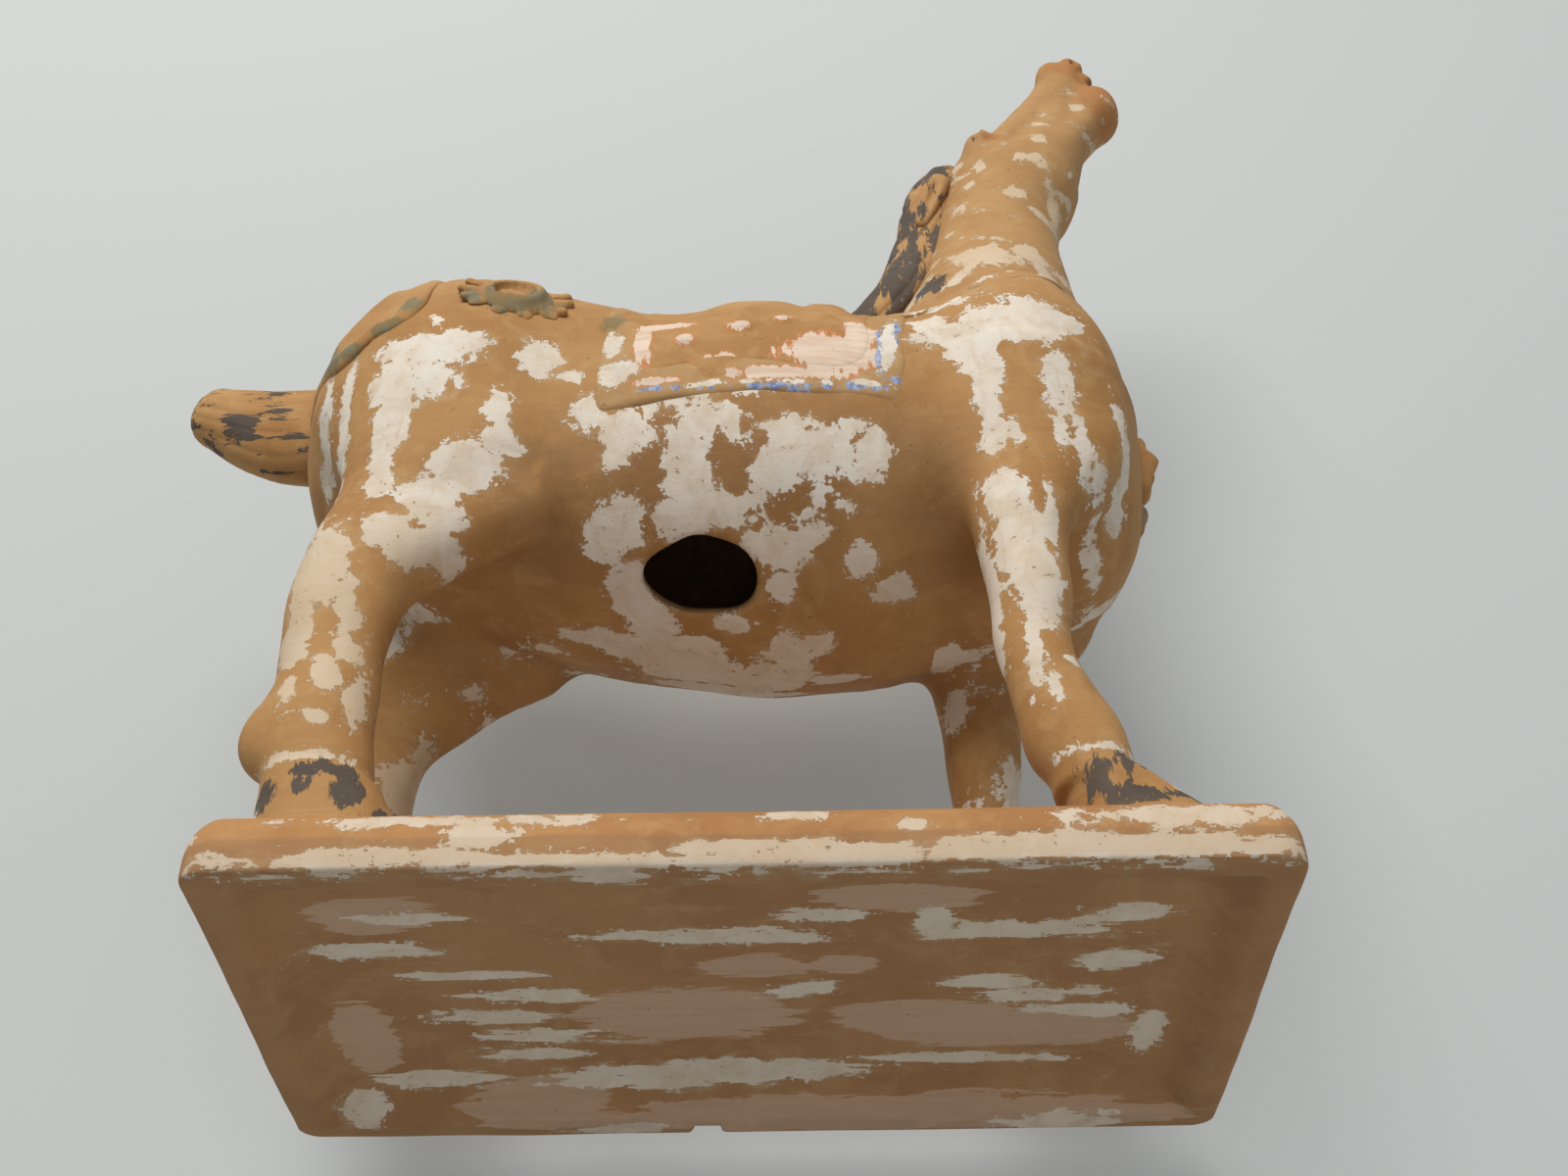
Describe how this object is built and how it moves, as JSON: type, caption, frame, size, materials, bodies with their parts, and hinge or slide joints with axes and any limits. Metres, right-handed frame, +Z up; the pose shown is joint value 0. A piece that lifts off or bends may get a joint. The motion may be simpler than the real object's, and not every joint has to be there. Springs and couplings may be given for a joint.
{
  "type": "pottery horse figure",
  "caption": "Hollow press-moulded pottery horse with raised head, saddle and harness, on a tray-shaped plinth, with worn white slip over terracotta.",
  "frame": {"origin": "middle of the bounding box, on the plane that the plinth stands on", "axes": "+X towards the horse's head, +Y towards its left side, +Z up"},
  "size_m": [0.322, 0.148, 0.3949],
  "materials": {
    "clay": "unglazed terracotta, matt, with worn white slip",
    "slip": "unglazed terracotta under chalky white slip, matt and flaked",
    "black_paint": "unglazed terracotta with worn matt black paint",
    "green_paint": "unglazed terracotta with traces of matt green paint",
    "saddle_paint": "unglazed terracotta with worn pink-white and blue paint"
  },
  "bodies": {
    "root": {"plinth": "slip", "trunk_right_half": "clay", "trunk_left_half": "clay", "neck_right_half": "clay", "neck_left_half": "clay", "head_right_half": "clay", "head_left_half": "clay", "lower_jaw": "clay", "front_right_leg": "clay", "front_left_leg": "clay", "hind_right_leg": "clay", "hind_left_leg": "clay", "tail": "black_paint", "mane": "black_paint", "right_ear": "clay", "left_ear": "clay", "saddle_cloth": "saddle_paint", "saddle_cover": "clay", "saddle": "clay", "crupper_pad": "green_paint", "rosette_leaves_right": "green_paint", "rosette_cup_right": "green_paint", "rosette_leaves_left": "green_paint", "rosette_cup_left": "green_paint", "breast_strap": "green_paint", "chest_plaque": "clay", "chest_bell": "green_paint"}
  },
  "joints": []
}
